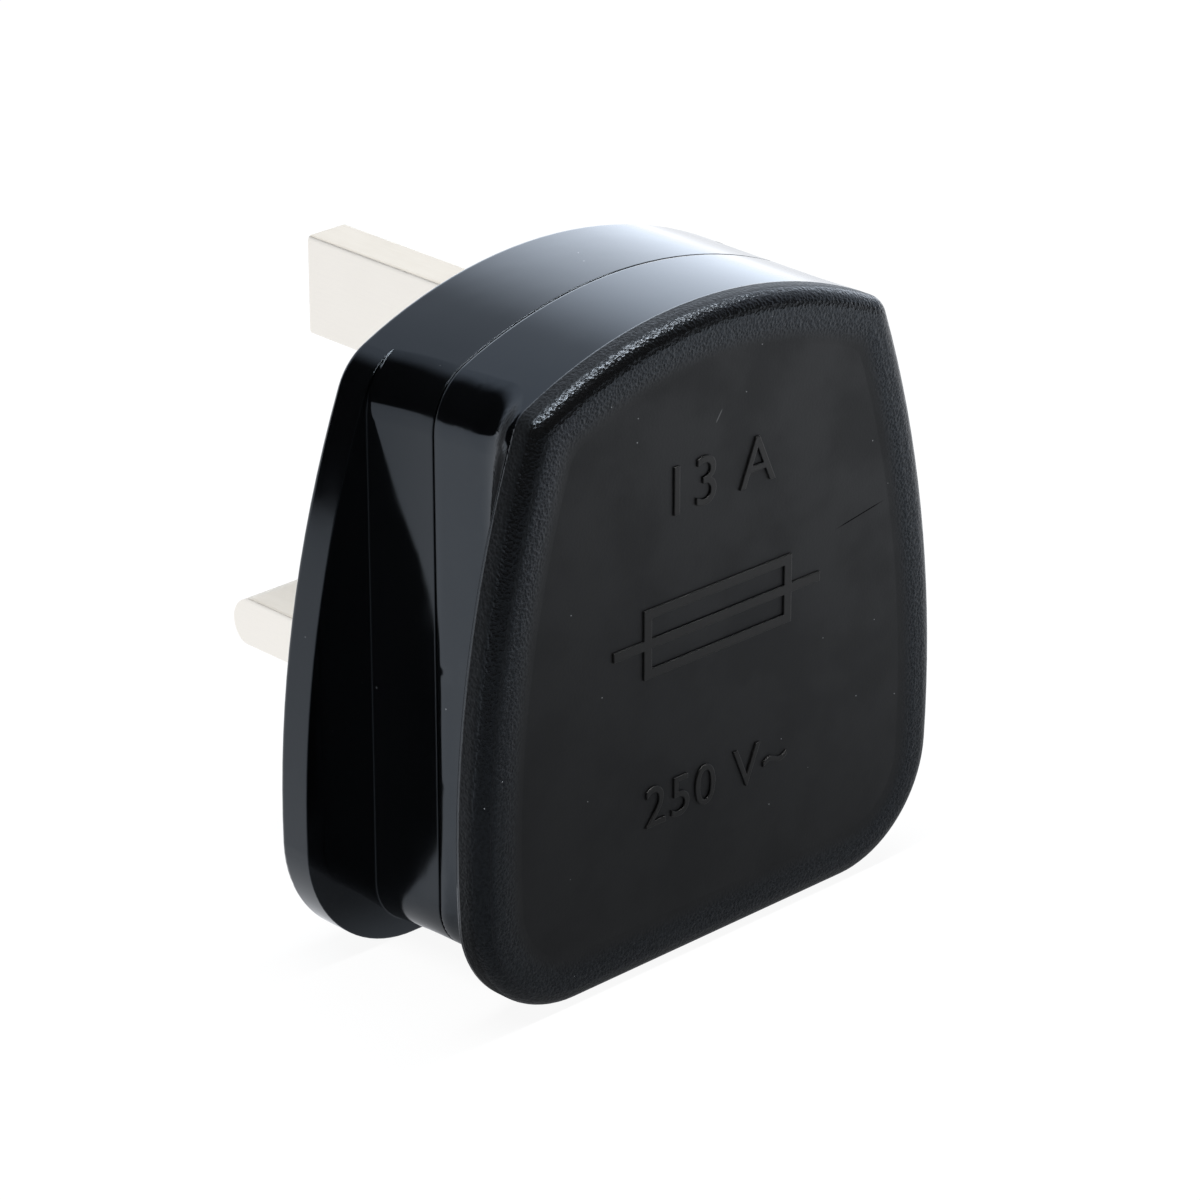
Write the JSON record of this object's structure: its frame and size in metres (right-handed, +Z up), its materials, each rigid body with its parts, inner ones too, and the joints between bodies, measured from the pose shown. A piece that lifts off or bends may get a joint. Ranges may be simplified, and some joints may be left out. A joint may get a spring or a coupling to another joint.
{
  "type": "three-pin mains plug",
  "caption": "Rewirable fused mains plug: a waisted two-part moulded casing with flat blade pins, an upright earth pin and a cord inlet at the bottom.",
  "frame": {"origin": "on the engagement face, midway between the neutral and live pins", "axes": "+X across the plug towards the live pin, +Y out of the engagement face along the pins, +Z up towards the earth pin"},
  "size_m": [0.0504, 0.0423, 0.05],
  "materials": {
    "casing": "gloss black moulded plastic with a spark-textured rim and a satin face",
    "pin_plating": "satin nickel plate on brass",
    "pin_sleeve": "matte black moulded sleeve",
    "terminal_brass": "machined",
    "spring_bronze": "rolled and bent",
    "screw_steel": "bright zinc plate",
    "fuse_ceramic": "unglazed",
    "fuse_cap_metal": "nickel plate",
    "fuse_wire": "tinned",
    "fibre": "pressed fibre"
  },
  "bodies": {
    "root": {"base": "casing", "cover": "casing", "earth_pin": "pin_plating", "neutral_pin": "pin_plating", "live_pin": "pin_plating", "neutral_pin_sleeve": "pin_sleeve", "live_pin_sleeve": "pin_sleeve", "live_terminal": "terminal_brass", "earth_terminal_screw": "screw_steel", "neutral_terminal_screw": "screw_steel", "live_terminal_screw": "screw_steel", "fuse_tube": "fuse_ceramic", "fuse_element": "fuse_wire", "lower_fuse_cap": "fuse_cap_metal", "upper_fuse_cap": "fuse_cap_metal", "lower_fuse_clip": "spring_bronze", "upper_fuse_clip": "spring_bronze", "lower_clip_rivet": "terminal_brass", "upper_clip_rivet": "terminal_brass", "cover_screw": "screw_steel", "cover_screw_washer": "fibre", "cover_insert": "terminal_brass", "cord_grip_bar": "fibre", "cord_grip_screws": "screw_steel"}
  },
  "joints": []
}
